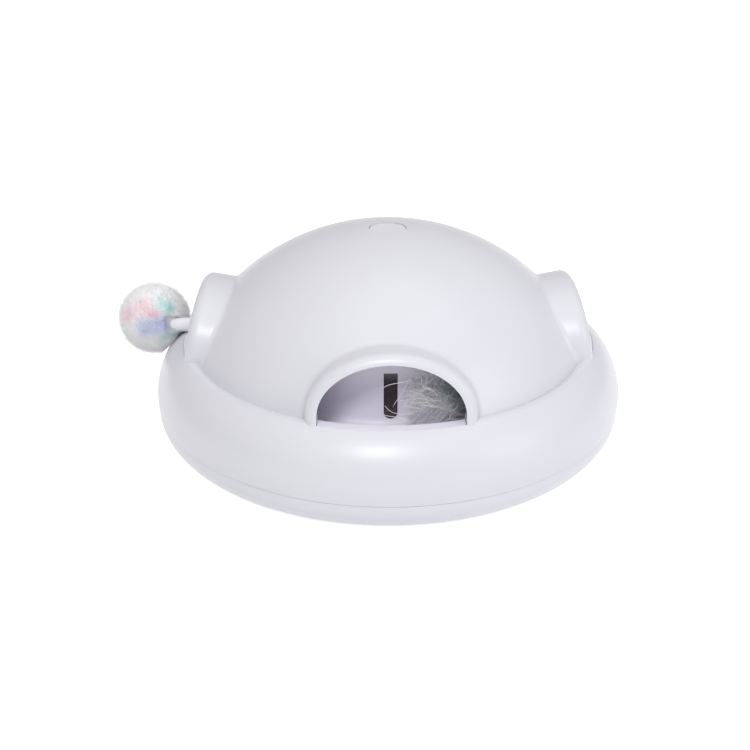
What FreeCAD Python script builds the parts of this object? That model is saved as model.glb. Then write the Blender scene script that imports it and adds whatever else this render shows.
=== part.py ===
import FreeCAD, Part
import math
import os
import re

# Automatic cat laser toy: a domed four-arched shell on a round base, with a wand
# that slides out through the left and right arches, a tilting laser behind the
# front window and a push button on top. Millimetres, +Z up, origin on the floor
# at the centre. The front arch faces -Y.

doc = FreeCAD.newDocument("cat_laser_toy")
sheet = doc.addObject("Spreadsheet::Sheet", "Sizes")
V = FreeCAD.Vector
UP = V(0, 0, 1)

# Driving dimensions
SIZES = [
    ("rim_radius", 119.0, "radius of the rim at the parting line"),
    ("rim_height", 15.4, "height at which the rim's round flank ends"),
    ("crease_radius", 104.3, "radius of the arch sills, at the top of the rim"),
    ("crease_height", 43.2, "height of the arch sills"),
    ("valley_radius", 98.3, "radius of the valley between the dome and the rim"),
    ("valley_height", 41.4, "height of that valley"),
    ("shoulder_radius", 72.2, "radius where the crown meets the dome side"),
    ("shoulder_height", 74.3, "height of that shoulder"),
    ("dome_height", 98.9, "height of the dome at its pole"),
    ("shell_wall", 2.4, "wall of the shells"),
    ("seam_height", 15.0, "parting line between the two shells"),
    ("seam_gap", 0.3, "shadow gap at the parting line"),
    ("floor_radius", 112.0, "radius of the flat underside"),
    ("foot_height", 1.0, "how far the feet stand below the shell"),
    ("hood_face", 99.5, "radius of an arch face at its sill"),
    ("hood_lean", 10.7, "inward lean of an arch face, degrees"),
    ("hood_half_width", 37.4, "half width of a hood outside"),
    ("hood_crown", 31.0, "height of a hood over its sill, along its face"),
    ("hood_round", 5.2, "rounding of a hood's outer edge"),
    ("hood_valley", 3.5, "fillet between a hood and the dome"),
    ("arch_half_width", 31.9, "half width of an arch opening"),
    ("arch_crown", 26.3, "height of an arch opening, along its face"),
    ("arch_count", 4, "arches round the dome"),
    ("drum_radius", 78.0, "outside of the inner drum"),
    ("drum_wall", 2.2, "wall of the inner drum"),
    ("drum_top", 62.6, "top edge of the inner drum"),
    ("tray_floor", 32.0, "top of the tray floor"),
    ("tray_wall", 2.2, "thickness of the tray floor"),
    ("cove_radius", 3.0, "cove from the tray floor into the drum"),
    ("window_width", 6.2, "width of the laser window slot"),
    ("window_low", 34.4, "bottom of the laser window slot"),
    ("window_high", 57.2, "top of the laser window slot"),
    ("cover_wall", 2.0, "thickness of the drum cover"),
    ("deck_height", 38.4, "top of the mechanism deck"),
    ("deck_wall", 2.4, "thickness of the mechanism deck"),
    ("wand_height", 47.5, "height of the wand's axis"),
    ("wand_stroke", 25.0, "travel of the wand"),
    ("stem_radius", 3.6, "outside of the wand's sleeves"),
    ("rod_radius", 2.0, "rod inside the sleeves"),
    ("stem_tip", 114.0, "reach of the left sleeve at rest"),
    ("bar_width", 8.0, "width of the rack bar"),
    ("pompom_radius", 19.0, "radius of the pompom"),
    ("pompom_reach", 122.0, "distance of the pompom from the centre"),
    ("pompom_height", 47.2, "height of the pompom's centre"),
    ("pompom_back", 10.0, "how far the pompom sits behind the wand's axis"),
    ("tooth_module", 1.0, "module of the wand gears"),
    ("pinion_teeth", 12, "teeth of the wand pinion"),
    ("wheel_teeth", 30, "teeth of the wand wheel"),
    ("driver_teeth", 12, "teeth of the motor pinion"),
    ("gear_thick", 5.0, "thickness of the wand gears"),
    ("wheel_thick", 3.0, "thickness of the wand wheel"),
    ("axle_radius", 1.5, "fixed axle and trunnion radius"),
    ("shaft_radius", 1.0, "motor shaft radius"),
    ("run_gap", 0.06, "radial running clearance in bearings"),
    ("loose_gap", 0.3, "clearance between parts that only pass"),
    ("laser_height", 50.0, "height of the laser's tilt axis"),
    ("laser_back", 60.0, "distance of the tilt axis in front of the centre"),
    ("laser_radius", 3.0, "radius of the laser barrel"),
    ("laser_length", 15.0, "length of the laser barrel"),
    ("sector_module", 0.8, "module of the tilt gears"),
    ("sector_teeth", 30, "teeth of the tilt gear, full circle"),
    ("tilt_driver_teeth", 10, "teeth of the tilt motor pinion"),
    ("button_radius", 9.0, "radius of the top button"),
    ("button_travel", 1.2, "travel of the top button"),
    ("screw_radius", 1.5, "case screw shank radius"),
    ("screw_ring", 108.0, "radius of the case screws"),
    ("post_ring", 89.0, "radius of the tray posts"),
    ("case_screws", 6, "screws that close the case"),
    ("tray_screws", 4, "screws of the tray and of the deck, and feet in the outer ring"),
    ("screw_reach", 16.0, "length of a case or tray screw"),
    ("case_seat", 8.0, "height at which the case screws' heads sit"),
    ("tray_seat", 14.0, "height at which the tray screws' heads sit"),
    ("post_start", 45.0, "angle of the first tray post, degrees"),
    ("foot_start", 15.0, "angle of the first foot, degrees"),
    ("cell_radius", 9.2, "radius of the rechargeable cell"),
    ("cell_length", 65.0, "length of the rechargeable cell"),
    ("crown_sag", 6.3, "bow of the crown's outline"),
    ("side_sag", 2.6, "bow of the dome side's outline"),
    ("roll_sag", 1.2, "bow of the rim's inner roll"),
    ("rim_sag", 4.6, "bow of the rim's outline"),
    ("base_sag", 2.6, "bow of the base's outline"),
    ("lip_top", 38.6, "top edge of the tray's rim between the arches"),
    ("sill_tongue", 1.6, "thickness of the tray's tongue at a sill"),
    ("post_top", 24.5, "top of the posts under the tray"),
    ("board_height", 72.6, "underside of the main board"),
    ("board_wall", 1.6, "thickness of the boards"),
    ("bar_half", 25.0, "half length of the rack bar's middle"),
    ("plume_ring", 83.0, "radius of the plume's middle line"),
    ("plume_height", 47.0, "height of the plume's middle"),
    ("plume_tall", 6.0, "half height of the plume"),
    ("plume_deep", 4.3, "half depth of the plume"),
    ("port_board", 6.4, "underside of the charge board"),
    ("plume_start", 7.5, "angle at which the plume starts, degrees"),
    ("plume_sweep", 72.0, "angle that the plume takes up, degrees"),
    ("foot_radius", 6.5, "radius of a foot"),
    ("foot_ring", 92.0, "radius of the circle of feet"),
]

for row, (alias, size, note) in enumerate(SIZES, start=1):
    sheet.set(f"A{row}", alias)
    sheet.set(f"B{row}", str(size))
    sheet.set(f"C{row}", note)
    sheet.setAlias(f"B{row}", alias)
doc.recompute()
S = {alias: float(sheet.get(alias)) for alias, size, note in SIZES}

parts = []


def keep(obj, name):
    """Name a finished sub-part, so that it is checked and written."""
    obj.Label = name
    parts.append((name, obj))
    return obj


def names_to_cells(text):
    """Write a formula in plain size names as one that reads the sheet."""
    return re.sub("[a-z_]+", lambda word: "Sizes." + word[0] if word[0] in S else word[0], text)


def value(text):
    """The number that a formula of size names gives, worked out by the sheet."""
    sheet.set("E1", "=" + text)
    sheet.recompute()
    return float(sheet.get("E1"))


def place(obj, x="0", y="0", z="0"):
    """Put an object where formulas of the sheet say."""
    for axis, text in (("x", x), ("y", y), ("z", z)):
        obj.setExpression(".Placement.Base." + axis, "(" + names_to_cells(text) + ") * 1mm")
    return obj


def cylinder(name, radius, height, x="0", y="0", z="0", axis=UP):
    """A Part::Cylinder bound to the sheet, along any main axis."""
    obj = doc.addObject("Part::Cylinder", name)
    obj.setExpression("Radius", "(" + names_to_cells(radius) + ") * 1mm")
    obj.setExpression("Height", "(" + names_to_cells(height) + ") * 1mm")
    obj.Placement.Rotation = FreeCAD.Rotation(UP, axis)
    return place(obj, x, y, z)


def box(name, length, width, height, x="0", y="0", z="0"):
    """A Part::Box centred on X and Y, standing on z."""
    obj = doc.addObject("Part::Box", name)
    obj.setExpression("Length", "(" + names_to_cells(length) + ") * 1mm")
    obj.setExpression("Width", "(" + names_to_cells(width) + ") * 1mm")
    obj.setExpression("Height", "(" + names_to_cells(height) + ") * 1mm")
    return place(obj, f"({x}) - ({length}) / 2", f"({y}) - ({width}) / 2", z)


def sphere(name, radius, x="0", y="0", z="0"):
    """A Part::Sphere bound to the sheet."""
    obj = doc.addObject("Part::Sphere", name)
    obj.setExpression("Radius", "(" + names_to_cells(radius) + ") * 1mm")
    return place(obj, x, y, z)


def fuse(name, *pieces):
    """One solid from several."""
    obj = doc.addObject("Part::MultiFuse", name)
    obj.Shapes = list(pieces)
    obj.Refine = True
    return obj


def cut(name, base, *tools):
    """A base with one or more tools taken away."""
    tool = tools[0] if len(tools) == 1 else fuse(name + "_tools", *tools)
    obj = doc.addObject("Part::Cut", name)
    obj.Base = base
    obj.Tool = tool
    return obj


def common(name, base, tool):
    """Where two solids overlap."""
    obj = doc.addObject("Part::Common", name)
    obj.Base = base
    obj.Tool = tool
    return obj


def group(name, *pieces):
    """Several separate solids kept in one sub-part."""
    obj = doc.addObject("Part::Compound", name)
    obj.Links = list(pieces)
    return obj


def feature(name, shape):
    """A shape worked out from the sheet, as a document object."""
    obj = doc.addObject("Part::Feature", name)
    obj.Shape = shape
    return obj


def ring_of(maker, name, radius, count, start=0.0):
    """Copies of a piece evenly round the centre: the maker gets a name and X, Y formulas."""
    copies = []
    for i in range(int(count)):
        angle = math.radians(start + 360.0 * i / count)
        x = f"({radius}) * {math.cos(angle):.9f}"
        y = f"({radius}) * {math.sin(angle):.9f}"
        copies.append(maker(f"{name}_{i + 1}", x, y))
    return copies


def turned_body(name, outline):
    """A body turned about Z. Each corner is (radius, height) or (radius, height, sag), where
    sag is how far the edge from that corner to the next bows out to its left."""
    body = doc.addObject("PartDesign::Body", name)
    sketch = body.newObject("Sketcher::SketchObject", name + "_profile")
    plane = [f for f in body.Origin.OriginFeatures if f.Role == "XZ_Plane"][0]
    sketch.AttachmentSupport = (plane, [""])
    sketch.MapMode = "FlatFace"
    ends = [V(value(c[0]), value(c[1]), 0) for c in outline]
    for i, corner in enumerate(outline):
        a = ends[i]
        b = ends[(i + 1) % len(ends)]
        sag = value(corner[2]) if len(corner) > 2 else 0.0
        if sag == 0.0:
            sketch.addGeometry(Part.LineSegment(a, b), False)
        else:
            along = (b - a).normalize()
            mid = (a + b) * 0.5 + V(-along.y, along.x, 0) * sag
            sketch.addGeometry(Part.Arc(a, mid, b), False)
    turn = body.newObject("PartDesign::Revolution", name + "_turn")
    turn.Profile = sketch
    turn.ReferenceAxis = (sketch, ["V_Axis"])
    turn.Angle = 360
    body.Tip = turn
    return body


def arch_block(half_width, crown, sill, near, far, low, rise=3.5):
    """An arch-ended block that runs level along -Y from near to far: straight sides to
    rise above the sill, then a half ellipse to the crown. It reaches down to low."""
    spring = sill + rise
    top = crown - rise
    oval = Part.Ellipse(V(0, 0, 0), half_width, top)
    curve = Part.Arc(oval, 0, math.pi).toShape()
    curve.rotate(V(0, 0, 0), V(1, 0, 0), 90)
    curve.translate(V(0, 0, spring))
    right = V(half_width, 0, spring)
    left = V(-half_width, 0, spring)
    edges = [
        curve,
        Part.LineSegment(left, V(-half_width, 0, low)).toShape(),
        Part.LineSegment(V(-half_width, 0, low), V(half_width, 0, low)).toShape(),
        Part.LineSegment(V(half_width, 0, low), right).toShape(),
    ]
    face = Part.Face(Part.Wire(Part.__sortEdges__(edges)))
    face.translate(V(0, -near, 0))
    return face.extrude(V(0, near - far, 0))


def tilted(block, face, sill):
    """Tip a hood's block about its sill, so that its face leans in and its crown climbs inward."""
    block.rotate(V(0, -face, sill), V(1, 0, 0), -S["hood_lean"])
    return block


def round_front(block, radius, low):
    """Round the outer edge of a hood's front face."""
    front = min(block.Faces, key=lambda f: f.CenterOfMass.y)
    edges = [e for e in front.Edges if e.BoundBox.ZMax > low + 1.0]
    return block.makeFillet(radius, edges)


def with_hoods(body, hood, radius):
    """The dome with its hoods blended in: each hood meets the dome in one long top edge, which
    is filleted. The dome's own seam line is turned clear of the hoods first."""
    doc.recompute()
    dome = body.Shape.copy()
    dome.rotate(V(0, 0, 0), UP, 45)
    hoods = Part.makeCompound(around(hood))
    joined = dome.fuse(around(hood)).removeSplitter()
    valleys = []
    for edge in joined.Edges:
        middle = Part.Vertex(edge.valueAt((edge.FirstParameter + edge.LastParameter) / 2))
        on_top = middle.Z > S["hood_crown"] / 2 + S["crease_height"]
        if on_top and dome.distToShape(middle)[0] < 0.001 and hoods.distToShape(middle)[0] < 0.001:
            on_dome = min(face.distToShape(middle)[0] for face in dome.Faces)
            on_hood = min(face.distToShape(middle)[0] for face in hoods.Faces)
            if max(on_dome, on_hood) < 0.001:
                valleys.append(edge)
    return joined.makeFillet(radius, valleys)


def around(shape):
    """The shape and its copies, one at each arch."""
    count = int(S["arch_count"])
    copies = []
    for i in range(count):
        copy = shape.copy()
        copy.rotate(V(0, 0, 0), UP, 360.0 * i / count)
        copies.append(copy)
    return copies


def gear_solid(module, teeth, thick, phase=0.0, backlash=0.16, addendum=0.65):
    """A spur gear about Z on z = 0, with involute flanks and one tooth at the phase angle."""
    pressure = math.radians(20.0)
    pitch = module * teeth / 2
    base = pitch * math.cos(pressure)
    tip = pitch + addendum * module
    root = pitch - 1.1 * module

    def half_angle(radius):
        """Half the angle of a tooth at a radius."""
        flank = math.acos(min(1.0, base / radius))
        return (math.pi / 2 / teeth - backlash / 2 / pitch
                + math.tan(pressure) - pressure - math.tan(flank) + flank)

    steps = 4
    low = max(base, root)
    radii = [low + (tip - low) * i / steps for i in range(steps + 1)]
    flank = [(root, half_angle(low))] + [(r, half_angle(r)) for r in radii]
    points = []
    for tooth in range(int(teeth)):
        centre = math.radians(phase) + 2 * math.pi * tooth / teeth
        for radius, angle in flank:
            points.append((radius, centre - angle))
        for radius, angle in reversed(flank):
            points.append((radius, centre + angle))
    corners = [V(r * math.cos(a), r * math.sin(a), 0) for r, a in points]
    wire = Part.makePolygon(corners + [corners[0]])
    return Part.Face(wire).extrude(V(0, 0, thick))


def upper_shell():
    """One moulding: dome, rim and four hoods, open at its arches, with six screw bosses."""
    foot = "seam_height + seam_gap / 2"
    solid = turned_body("shell_outside", [
        ("0", "dome_height", "crown_sag"),
        ("shoulder_radius", "shoulder_height", "side_sag"),
        ("valley_radius", "valley_height", "roll_sag"),
        ("crease_radius", "crease_height", "rim_sag"),
        ("rim_radius", "rim_height"),
        ("rim_radius", foot),
        ("0", foot),
    ])
    hollow = turned_body("shell_inside", [
        ("0", "dome_height - shell_wall", "crown_sag"),
        ("shoulder_radius - shell_wall * 0.6", "shoulder_height - shell_wall * 0.8", "side_sag"),
        ("valley_radius - shell_wall * 0.8", "valley_height - shell_wall"),
        ("crease_radius - shell_wall * 0.5", "crease_height - shell_wall * 0.87", "rim_sag"),
        ("rim_radius - shell_wall", "rim_height"),
        ("rim_radius - shell_wall", "seam_height - 1"),
        ("0", "seam_height - 1"),
    ])
    sill = S["crease_height"]
    face = S["hood_face"]
    wall = S["shell_wall"]
    near = S["shoulder_radius"] - 14
    far = S["rim_radius"]
    low = sill - 14
    block = arch_block(S["hood_half_width"], S["hood_crown"], sill, near, face, low)
    block = tilted(round_front(block, S["hood_round"], low), face, sill)
    outside = feature("shell_with_hoods", with_hoods(solid, block, S["hood_valley"]))
    over_sill = Part.makeBox(far * 2, far, far, V(-far, -far, sill))
    room = arch_block(S["hood_half_width"] - wall, S["hood_crown"] - wall, sill, near, face - wall, low)
    room = tilted(room, face, sill).common(over_sill)
    arch = arch_block(S["arch_half_width"], S["arch_crown"], sill, face - 15, far, low)
    arch = tilted(arch, face, sill).common(over_sill)
    rooms = feature("hood_rooms", Part.makeCompound(around(room)))
    arches = feature("arches", Part.makeCompound(around(arch)))
    notch_low = value("lip_top - loose_gap")
    inner = face - 20
    notch = Part.makeCylinder(value("crease_radius - loose_gap / 2"), sill - notch_low + 0.1, V(0, 0, notch_low))
    strip = Part.makeBox(S["arch_half_width"] * 2, far - inner, sill, V(-S["arch_half_width"], -far, notch_low))
    notches = feature("sill_notches", Part.makeCompound(around(notch.common(strip))))
    hole = cylinder("button_hole", "button_radius + loose_gap", "20", z="dome_height - 12")
    shell = cut("shell_hollowed", outside, hollow, rooms, arches, notches, hole)

    def boss(name, x, y):
        post = cylinder(name, "screw_radius + 2", "30", x, y, foot)
        bore = cylinder(name + "_bore", "screw_radius + 0.05", "10", x, y, "seam_height - 1")
        return cut(name + "_drilled", post, bore)

    bosses = ring_of(boss, "shell_boss", "screw_ring", S["case_screws"])
    held = common("bosses_in_shell", fuse("shell_bosses", *bosses), solid)
    keep(fuse("shell_with_bosses", shell, held), "upper_shell")


def base_shell():
    """The bottom bowl with a locating lip, screw posts, tray posts and foot recesses."""
    top = "seam_height - seam_gap / 2"
    bowl = turned_body("bowl_outside", [
        ("rim_radius - 0.3", top, "base_sag"),
        ("floor_radius", "foot_height"),
        ("0", "foot_height"),
        ("0", "foot_height + shell_wall"),
        ("floor_radius - 2", "foot_height + shell_wall", "-base_sag"),
        ("rim_radius - 0.3 - shell_wall", top),
    ])
    lip = turned_body("locating_lip", [
        ("rim_radius - shell_wall * 2", "seam_height - 5"),
        ("rim_radius - shell_wall * 0.9", "seam_height - 3"),
        ("rim_radius - shell_wall * 0.9", top),
        ("rim_radius - shell_wall - loose_gap", top),
        ("rim_radius - shell_wall - loose_gap", "seam_height + 1.6"),
        ("rim_radius - shell_wall * 2", "seam_height + 1.6"),
    ])

    def case_post(name, x, y):
        return cylinder(name, "screw_radius + 2.9", f"{top} - foot_height", x, y, "foot_height")

    def stepped(name, x, y, seat):
        shank = cylinder(name, "screw_radius + 0.2", "post_top + 1", x, y, "0")
        head = cylinder(name + "_head", "screw_radius + 1.6", seat, x, y, "0")
        return fuse(name + "_stepped", shank, head)

    def case_bore(name, x, y):
        return stepped(name, x, y, "case_seat")

    def tray_post(name, x, y):
        return cylinder(name, "screw_radius + 2.9", "post_top - foot_height", x, y, "foot_height")

    def tray_bore(name, x, y):
        return stepped(name, x, y, "tray_seat")

    def recess(name, x, y):
        return cylinder(name, "foot_radius + 0.1", "foot_height + 1.2", x, y, "0")

    solid = fuse("bowl_with_posts", bowl, lip,
                 *ring_of(case_post, "case_post", "screw_ring", S["case_screws"]),
                 *ring_of(tray_post, "tray_post", "post_ring", S["tray_screws"], S["post_start"]))
    port = box("port_hole", "9.6", "12", "4", y="rim_radius - 3", z="port_board + 2")
    keep(cut("bowl_finished", solid, port,
             *ring_of(case_bore, "case_bore", "screw_ring", S["case_screws"]),
             *ring_of(tray_bore, "tray_bore", "post_ring", S["tray_screws"], S["post_start"]),
             *ring_of(recess, "foot_recess", "foot_ring", S["tray_screws"], S["foot_start"]),
             recess("foot_recess_middle", "0", "0")), "base_shell")


def fasteners():
    """Case screws, tray screws, deck screws and the five feet."""
    def screw(head):
        def make(name, x, y):
            shank = cylinder(name, "screw_radius", "screw_reach", x, y, head)
            cap = cylinder(name + "_head", "screw_radius + 1.3", "1.8", x, y, f"{head} - 1.8")
            slot = box(name + "_slot", "3.6", "0.7", "0.8", x, y, f"{head} - 1.8")
            cross = box(name + "_cross", "0.7", "3.6", "0.8", x, y, f"{head} - 1.8")
            return cut(name + "_cut", fuse(name + "_whole", shank, cap), slot, cross)
        return make

    def deck_screw(name, x, y):
        shank = cylinder(name, "screw_radius - 0.4", "deck_wall + 1", x, y, "deck_height - deck_wall - 1")
        cap = cylinder(name + "_head", "screw_radius + 0.9", "1.6", x, y, "deck_height")
        slot = box(name + "_slot", "2.8", "0.6", "1", x, y, "deck_height + 0.8")
        return cut(name + "_cut", fuse(name + "_whole", shank, cap), slot)

    def foot(name, x, y):
        pad = cylinder(name, "foot_radius", "foot_height + 1.2", x, y, "0")
        dish = cylinder(name + "_dish", "foot_radius - 2.5", "0.5", x, y, "0")
        return cut(name + "_cut", pad, dish)

    case = ring_of(screw("case_seat"), "case_screw", "screw_ring", S["case_screws"])
    keep(group("case_screw_set", *case), "case_screws")
    tray = ring_of(screw("tray_seat"), "tray_screw", "post_ring", S["tray_screws"], S["post_start"])
    keep(group("tray_screw_set", *tray), "tray_screws")
    deck = ring_of(deck_screw, "deck_screw", "drum_radius - 7", S["tray_screws"], S["post_start"])
    keep(group("deck_screw_set", *deck), "deck_screws")
    feet = ring_of(foot, "foot", "foot_ring", S["tray_screws"], S["foot_start"])
    middle = cylinder("foot_middle", "foot_radius", "foot_height + 1.2")
    keep(group("foot_set", *feet, middle), "rubber_feet")


def inner_housing():
    """Tray and drum in one moulding, with window slots, wand holes and a deck ledge."""
    lip = "crease_radius - 3.3"
    under = "tray_floor - tray_wall"
    tray = turned_body("tray_and_drum", [
        ("drum_radius - drum_wall", "drum_top"),
        ("drum_radius", "drum_top"),
        ("drum_radius", "tray_floor + cove_radius", "-cove_radius * 0.293"),
        ("drum_radius + cove_radius", "tray_floor"),
        (f"{lip} - 1.8", "tray_floor"),
        (f"{lip} - 1.8", "lip_top"),
        (lip, "lip_top"),
        (lip, under),
        ("drum_radius - 12", under),
        ("drum_radius - 12", "deck_height - deck_wall"),
        ("drum_radius - drum_wall", "deck_height - deck_wall"),
    ])
    half = S["arch_half_width"] - S["loose_gap"]
    outer = value("crease_radius - loose_gap")
    thick = S["sill_tongue"]
    top = value("crease_height - 0.1")
    tall = value("crease_height - lip_top") + 1
    ring = Part.makeCylinder(outer, thick, V(0, 0, top - thick))
    ring = ring.fuse(Part.makeCylinder(value(lip), tall, V(0, 0, top - tall)))
    ring = ring.cut(Part.makeCylinder(value(lip) - 1.8, tall, V(0, 0, top - tall)))
    strip = Part.makeBox(half * 2, 30, tall, V(-half, -outer - 1, top - tall))
    tongues = feature("sill_tongues", Part.makeCompound(around(ring.common(strip))))

    def post(name, x, y):
        return cylinder(name, "screw_radius + 2.9", f"{under} - post_top + 0.5", x, y, "post_top")

    def bore(name, x, y):
        return cylinder(name, "screw_radius + 0.05", "6.4", x, y, "post_top")

    def deck_hole(name, x, y):
        return cylinder(name, "screw_radius - 0.35", "9", x, y, "deck_height - 9")

    solid = fuse("housing_solid", tray, tongues, *ring_of(post, "tray_boss", "post_ring", S["tray_screws"], S["post_start"]))
    slots = slot_bar("window_slots", "window_width", "drum_radius * 2 + 8", "window_low", "window_high")
    seams = box("window_seams", "0.5", "drum_radius * 2 - 0.8", "drum_top - window_high + 1",
                z="window_high - 0.5")
    core = cylinder("seam_core", "drum_radius - 0.9", "30", z="window_high - 5")
    seam_grooves = cut("seam_grooves", seams, core)
    wand = cylinder("wand_holes", "stem_radius + 2.2", "drum_radius * 2 + 20",
                    "-drum_radius - 10", "0", "wand_height", V(1, 0, 0))
    holes = ring_of(bore, "boss_bore", "post_ring", S["tray_screws"], S["post_start"])
    holes += ring_of(deck_hole, "ledge_hole", "drum_radius - 7", S["tray_screws"], S["post_start"])
    keep(cut("housing_finished", solid, slots, seam_grooves, wand, *holes), "inner_housing")


def slot_bar(name, width, length, low, high, y="0"):
    """A bar along Y with a rounded underside, for the window slots and their panes."""
    flat = box(name + "_flat", width, length, f"({high}) - ({low}) - ({width}) / 2", y=y,
               z=f"({low}) + ({width}) / 2")
    low_end = cylinder(name + "_round", f"({width}) / 2", length, "0", f"({y}) + ({length}) / 2",
                       f"({low}) + ({width}) / 2", V(0, -1, 0))
    return fuse(name, flat, low_end)


def drum_fittings():
    """The drum's cover, its two window panes and the two wand bushings."""
    disc = cylinder("cover_disc", "drum_radius", "cover_wall", z="drum_top")
    spigot = cut("cover_spigot", cylinder("spigot_out", "drum_radius - drum_wall - 0.1", "3", z="drum_top - 3"),
                 cylinder("spigot_in", "drum_radius - drum_wall - 2", "4", z="drum_top - 3.5"))
    keep(fuse("cover_whole", disc, spigot), "drum_cover")
    ring = cut("pane_ring", cylinder("pane_out", "drum_radius - 0.5", "30", z="window_low - 5"),
               cylinder("pane_in", "drum_radius - 2", "40", z="window_low - 10"))
    for name, side in (("front_window", "0 - "), ("rear_window", "")):
        pane = slot_bar(name + "_pane", "window_width - 0.1", "6", "window_low + 0.05",
                        "window_high - 0.05", f"{side}(drum_radius - 1)")
        keep(common(name + "_cut", pane, ring), name)
    for name, side in (("left_bushing", -1), ("right_bushing", 1)):
        inner = "drum_radius - 5.5"
        tube = cylinder(name + "_tube", "stem_radius + 1.9", "6.5", f"{side} * ({inner})", "0",
                        "wand_height", V(side, 0, 0))
        flange = cylinder(name + "_flange", "stem_radius + 3.4", "2", f"{side} * ({inner})", "0",
                          "wand_height", V(side, 0, 0))
        bore = cylinder(name + "_bore", "stem_radius + run_gap", "10", f"{side} * ({inner} - 1)", "0",
                        "wand_height", V(side, 0, 0))
        keep(cut(name + "_bored", fuse(name + "_whole", tube, flange), bore), name)


def wand():
    """The sliding wand: rack bar, two sleeves, pompom, ferrule and feather plume."""
    mid_left = "bar_half + wand_stroke / 2"
    bar = box("bar_middle", "bar_half * 2", "bar_width", "stem_radius * 2",
              x="0 - wand_stroke / 2", z="wand_height - stem_radius")
    rod_length = "stem_tip * 2 - wand_stroke - 2"
    rod = cylinder("bar_rod", "rod_radius", rod_length, "1 - stem_tip", "0", "wand_height", V(1, 0, 0))
    pitch = math.pi * S["tooth_module"]
    tip = S["bar_width"] / 2
    root = tip - 1.85 * S["tooth_module"]
    slope = math.tan(math.radians(20))
    deep = (tip - root) + 0.5
    line = tip - 0.65 * S["tooth_module"]
    gap = pitch / 2 + 0.16
    space = Part.Face(Part.makePolygon([
        V(-gap / 2 - (tip + 0.5 - line) * slope, tip + 0.5, 0),
        V(-gap / 2 + (line - root) * slope, root, 0),
        V(gap / 2 - (line - root) * slope, root, 0),
        V(gap / 2 + (tip + 0.5 - line) * slope, tip + 0.5, 0),
        V(-gap / 2 - (tip + 0.5 - line) * slope, tip + 0.5, 0),
    ])).extrude(V(0, 0, 20))
    first = -math.floor((S["wand_stroke"] + 4) / pitch)
    spaces = []
    for i in range(first, 3):
        tooth = space.copy()
        tooth.translate(V(i * pitch, 0, S["wand_height"] - 10))
        spaces.append(tooth)
    gaps = feature("rack_spaces", Part.makeCompound(spaces))
    keep(cut("bar_toothed", fuse("bar_whole", bar, rod), gaps), "rack_bar")
    sleeve = f"stem_tip - ({mid_left})"
    for name, start, side in (("pompom_stem", "0 - stem_tip", 1),
                              ("feather_stem", "stem_tip - wand_stroke", -1)):
        tube = cylinder(name + "_tube", "stem_radius", sleeve, start, "0", "wand_height", V(side, 0, 0))
        bore = cylinder(name + "_bore", "rod_radius + 0.05", f"{sleeve} + 2", f"{start} - {side}", "0",
                        "wand_height", V(side, 0, 0))
        keep(cut(name + "_bored", tube, bore), name)
    ball = sphere("pompom_ball", "pompom_radius", "0 - pompom_reach", "pompom_back", "pompom_height")
    stem_hole = cylinder("pompom_hole", "stem_radius + loose_gap", "40", "0 - stem_tip - loose_gap", "0",
                         "wand_height", V(1, 0, 0))
    rest = turned_body("pompom_rest", [
        ("0", "crease_height + 0.7"),
        ("crease_radius", "crease_height + 0.7", "rim_sag"),
        ("rim_radius + 0.5", "rim_height"),
        ("rim_radius + 0.5", "0"),
        ("0", "0"),
    ])
    keep(cut("pompom_cut", ball, stem_hole, rest), "pompom")
    tip_x = "stem_tip - wand_stroke"
    crimp = cylinder("ferrule_cup", "rod_radius - 0.2", "3", tip_x, "0", "wand_height", V(1, 0, 0))
    quill = cylinder("ferrule_quill", "0.8", "3", f"{tip_x} + 2", "0", "wand_height", V(1, 0, 0))
    keep(fuse("ferrule_whole", crimp, quill), "feather_ferrule")
    section = Part.Ellipse(V(0, 0, 0), S["plume_tall"], S["plume_deep"]).toShape()
    section.rotate(V(0, 0, 0), V(1, 0, 0), 90)
    section.rotate(V(0, 0, 0), V(0, 1, 0), 90)
    section.translate(V(S["plume_ring"], 0, S["plume_height"]))
    face = Part.Face(Part.Wire([section]))
    face.rotate(V(0, 0, 0), UP, -S["plume_start"])
    keep(feature("plume_shape", face.revolve(V(0, 0, 0), UP, -S["plume_sweep"])), "feather_plume")


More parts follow.
